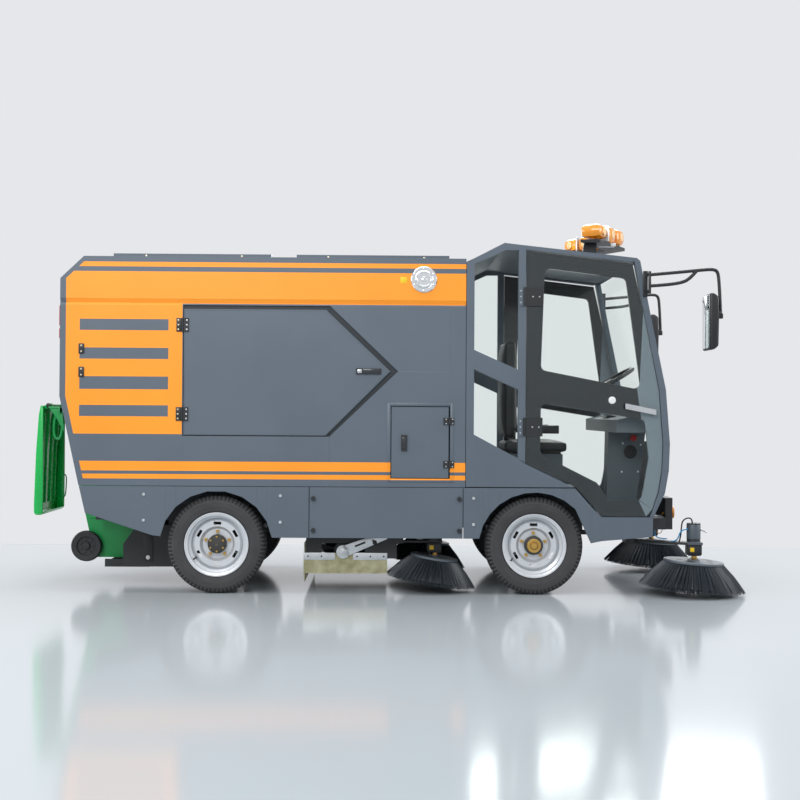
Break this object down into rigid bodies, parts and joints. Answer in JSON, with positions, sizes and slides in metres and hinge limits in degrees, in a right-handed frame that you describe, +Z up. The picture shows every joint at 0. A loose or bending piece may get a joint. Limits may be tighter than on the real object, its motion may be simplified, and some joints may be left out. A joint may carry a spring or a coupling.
{
  "type": "ride on sweeper",
  "caption": "Ride-on street sweeper with a glazed cab, a boxed rear body, side brushes, a roller brush and a wheeled waste bin at the back.",
  "frame": {"origin": "on the floor, in the middle of the machine's length and width", "axes": "+X forwards, +Y to the machine's left, +Z up"},
  "size_m": [4.5096, 1.924, 2.344],
  "materials": {
    "slate_paint": "powder coat, satin",
    "black_paint": "satin",
    "bright_steel": "zinc plated",
    "rim_paint": "silver paint",
    "tyre_rubber": "matte",
    "chrome": "polished",
    "clear_glass": "clear",
    "grey_plastic": "grained",
    "black_plastic": "grained",
    "seat_cloth": "vinyl",
    "bristle": "polypropylene bristles",
    "flap_rubber": "matte",
    "amber_lens": "translucent amber",
    "red_button": "gloss",
    "bin_green": "moulded",
    "tank_plastic": "moulded",
    "housing_zinc": "zinc grey"
  },
  "bodies": {
    "chassis": {"chassis_frame": "black_paint", "axles": "black_paint", "floors_and_bulkheads": "slate_paint", "body_sides": "slate_paint", "body_roof": "slate_paint", "skirts": "slate_paint", "skirt_fixings": "bright_steel", "cab_frame": "slate_paint", "cab_glazing": "clear_glass", "cab_console": "grey_plastic", "dust_hopper": "slate_paint", "battery_pack": "black_plastic", "suction_fan": "grey_plastic", "water_tank": "tank_plastic", "front_bumper": "black_paint", "lamps": "amber_lens", "beacon_lenses": "amber_lens", "beacon_base": "black_paint", "mirror_arms": "black_paint", "brush_housing": "black_paint", "rubber_flaps": "flap_rubber"},
    "rear_wheels": {"rear_tyres": "tyre_rubber", "rear_rims": "rim_paint"},
    "knuckle_right": {"steering_knuckle_right": "black_paint"},
    "front_wheel_right": {"front_tyre_right": "tyre_rubber", "front_rim_right": "rim_paint"},
    "cab_door_right": {"cab_door_frame_right": "black_paint", "cab_door_glass_right": "clear_glass"},
    "cab_handle_right": {"cab_door_handle_right": "chrome"},
    "service_door_right": {"service_door_right": "slate_paint"},
    "mirror_right": {"mirror_head_right": "black_plastic"},
    "front_brush_arm_right": {"front_brush_arm_right": "black_paint"},
    "front_brush_right": {"front_brush_right": "bristle"},
    "middle_brush_arm_right": {"middle_brush_arm_right": "black_paint"},
    "middle_brush_right": {"middle_brush_right": "bristle"},
    "knuckle_left": {"steering_knuckle_left": "black_paint"},
    "front_wheel_left": {"front_tyre_left": "tyre_rubber", "front_rim_left": "rim_paint"},
    "cab_door_left": {"cab_door_frame_left": "black_paint", "cab_door_glass_left": "clear_glass"},
    "cab_handle_left": {"cab_door_handle_left": "chrome"},
    "service_door_left": {"service_door_left": "slate_paint"},
    "mirror_left": {"mirror_head_left": "black_plastic"},
    "front_brush_arm_left": {"front_brush_arm_left": "black_paint"},
    "front_brush_left": {"front_brush_left": "bristle"},
    "middle_brush_arm_left": {"middle_brush_arm_left": "black_paint"},
    "middle_brush_left": {"middle_brush_left": "bristle"},
    "steering_wheel": {"steering_wheel": "black_plastic"},
    "seat": {"seat": "seat_cloth"},
    "access_door": {"access_door": "slate_paint"},
    "filler_cap": {"filler_cap": "chrome"},
    "emergency_stop": {"emergency_stop": "red_button"},
    "brake_pedal": {"brake_pedal": "black_paint"},
    "drive_pedal": {"drive_pedal": "black_paint"},
    "roller_arms": {"roller_arms": "bright_steel"},
    "roller_brush": {"roller_brush": "bristle"},
    "bin": {"bin_body": "bin_green"},
    "bin_lid": {"bin_lid": "bin_green"},
    "bin_wheels": {"bin_wheels": "black_plastic"}
  },
  "joints": [
    {"name": "rear_wheel_spin", "type": "hinge", "parent": "chassis", "child": "rear_wheels", "pos_m": [-1.01442, 0, 0.3], "axis": [0, 1, 0], "continuous": true},
    {"name": "steer_right", "type": "hinge", "parent": "chassis", "child": "knuckle_right", "pos_m": [0.94058, -0.52, 0.3], "axis": [0, 0, 1], "range_deg": [-28, 28]},
    {"name": "front_wheel_spin_right", "type": "hinge", "parent": "knuckle_right", "child": "front_wheel_right", "pos_m": [0.94058, -0.6475, 0.3], "axis": [0, 1, 0], "continuous": true},
    {"name": "cab_door_swing_right", "type": "hinge", "parent": "chassis", "child": "cab_door_right", "pos_m": [0.87058, -0.7575, 1.4], "axis": [0, 0, -1], "range_deg": [0, 75]},
    {"name": "cab_handle_turn_right", "type": "hinge", "parent": "cab_door_right", "child": "cab_handle_right", "pos_m": [1.51258, -0.778, 1.16], "axis": [0, -1, 0], "range_deg": [0, 20]},
    {"name": "service_door_swing_right", "type": "hinge", "parent": "chassis", "child": "service_door_right", "pos_m": [-1.22642, -0.7565, 1.369], "axis": [0, 0, -1], "range_deg": [0, 110]},
    {"name": "mirror_turn_right", "type": "hinge", "parent": "chassis", "child": "mirror_right", "pos_m": [2.03258, -0.85, 1.732], "axis": [0, 0, 1], "range_deg": [-12, 12]},
    {"name": "front_brush_lift_right", "type": "hinge", "parent": "chassis", "child": "front_brush_arm_right", "pos_m": [1.57558, -0.455, 0.314], "axis": [0, -1, 0], "range_deg": [0, 12]},
    {"name": "front_brush_spin_right", "type": "hinge", "parent": "front_brush_arm_right", "child": "front_brush_right", "pos_m": [1.94358, -0.64, 0.1915], "axis": [0.0698, 0, 0.9976], "continuous": true},
    {"name": "middle_brush_lift_right", "type": "hinge", "parent": "chassis", "child": "middle_brush_arm_right", "pos_m": [0.09158, -0.52, 0.31], "axis": [0, -1, 0], "range_deg": [0, 8]},
    {"name": "middle_brush_spin_right", "type": "hinge", "parent": "middle_brush_arm_right", "child": "middle_brush_right", "pos_m": [0.33058, -0.52, 0.19867], "axis": [0.1564, 0, 0.9877], "continuous": true},
    {"name": "steer_left", "type": "hinge", "parent": "chassis", "child": "knuckle_left", "pos_m": [0.94058, 0.52, 0.3], "axis": [0, 0, 1], "range_deg": [-28, 28]},
    {"name": "front_wheel_spin_left", "type": "hinge", "parent": "knuckle_left", "child": "front_wheel_left", "pos_m": [0.94058, 0.6475, 0.3], "axis": [0, 1, 0], "continuous": true},
    {"name": "cab_door_swing_left", "type": "hinge", "parent": "chassis", "child": "cab_door_left", "pos_m": [0.87058, 0.7575, 1.4], "axis": [0, 0, 1], "range_deg": [0, 75]},
    {"name": "cab_handle_turn_left", "type": "hinge", "parent": "cab_door_left", "child": "cab_handle_left", "pos_m": [1.51258, 0.778, 1.16], "axis": [0, -1, 0], "range_deg": [0, 20]},
    {"name": "service_door_swing_left", "type": "hinge", "parent": "chassis", "child": "service_door_left", "pos_m": [-1.22642, 0.7565, 1.369], "axis": [0, 0, 1], "range_deg": [0, 110]},
    {"name": "mirror_turn_left", "type": "hinge", "parent": "chassis", "child": "mirror_left", "pos_m": [2.03258, 0.85, 1.732], "axis": [0, 0, 1], "range_deg": [-12, 12]},
    {"name": "front_brush_lift_left", "type": "hinge", "parent": "chassis", "child": "front_brush_arm_left", "pos_m": [1.57558, 0.455, 0.314], "axis": [0, -1, 0], "range_deg": [0, 12]},
    {"name": "front_brush_spin_left", "type": "hinge", "parent": "front_brush_arm_left", "child": "front_brush_left", "pos_m": [1.94358, 0.64, 0.1915], "axis": [0.0698, 0, 0.9976], "continuous": true},
    {"name": "middle_brush_lift_left", "type": "hinge", "parent": "chassis", "child": "middle_brush_arm_left", "pos_m": [0.09158, 0.52, 0.31], "axis": [0, -1, 0], "range_deg": [0, 8]},
    {"name": "middle_brush_spin_left", "type": "hinge", "parent": "middle_brush_arm_left", "child": "middle_brush_left", "pos_m": [0.33058, 0.52, 0.19867], "axis": [0.1564, 0, 0.9877], "continuous": true},
    {"name": "steering_wheel_turn", "type": "hinge", "parent": "chassis", "child": "steering_wheel", "pos_m": [1.52058, 0, 1.33], "axis": [-0.5, 0, 0.866], "range_deg": [-392, 392]},
    {"name": "seat_slide", "type": "slide", "parent": "chassis", "child": "seat", "axis": [1, 0, 0], "range_m": [-0.04, 0.06]},
    {"name": "access_door_swing", "type": "hinge", "parent": "chassis", "child": "access_door", "pos_m": [0.41458, -0.7565, 0.934], "axis": [0, 0, 1], "range_deg": [0, 110]},
    {"name": "filler_cap_turn", "type": "hinge", "parent": "chassis", "child": "filler_cap", "pos_m": [0.25058, -0.76, 1.935], "axis": [0, -1, 0], "range_deg": [0, 90]},
    {"name": "emergency_stop_press", "type": "slide", "parent": "chassis", "child": "emergency_stop", "axis": [0, 1, 0], "range_m": [0, 0.006], "stiffness_N_per_m": 600},
    {"name": "brake_pedal_press", "type": "hinge", "parent": "chassis", "child": "brake_pedal", "pos_m": [1.65308, 0.09, 0.655], "axis": [0, -1, 0], "range_deg": [0, 12], "stiffness_Nm_per_rad": 10},
    {"name": "drive_pedal_press", "type": "hinge", "parent": "chassis", "child": "drive_pedal", "pos_m": [1.65308, 0.21, 0.655], "axis": [0, -1, 0], "range_deg": [0, 12], "stiffness_Nm_per_rad": 6},
    {"name": "roller_lower", "type": "hinge", "parent": "chassis", "child": "roller_arms", "pos_m": [0.01558, 0, 0.35], "axis": [0, -1, 0], "range_deg": [0, 20]},
    {"name": "roller_spin", "type": "hinge", "parent": "roller_arms", "child": "roller_brush", "pos_m": [-0.23942, 0, 0.247], "axis": [0, 1, 0], "continuous": true},
    {"name": "bin_slide", "type": "slide", "parent": "chassis", "child": "bin", "axis": [-1, 0, 0], "range_m": [0, 0.9]},
    {"name": "bin_lid_swing", "type": "hinge", "parent": "bin", "child": "bin_lid", "pos_m": [-2.18242, 0, 1.149], "axis": [0, 1, 0], "range_deg": [0, 180]},
    {"name": "bin_wheel_spin", "type": "hinge", "parent": "bin", "child": "bin_wheels", "pos_m": [-1.90942, 0, 0.241], "axis": [0, 1, 0], "continuous": true}
  ],
  "couplings": [
    {"joint": "steer_left", "follows": "steer_right", "ratio": 1},
    {"joint": "steering_wheel_turn", "follows": "steer_right", "ratio": 14}
  ]
}
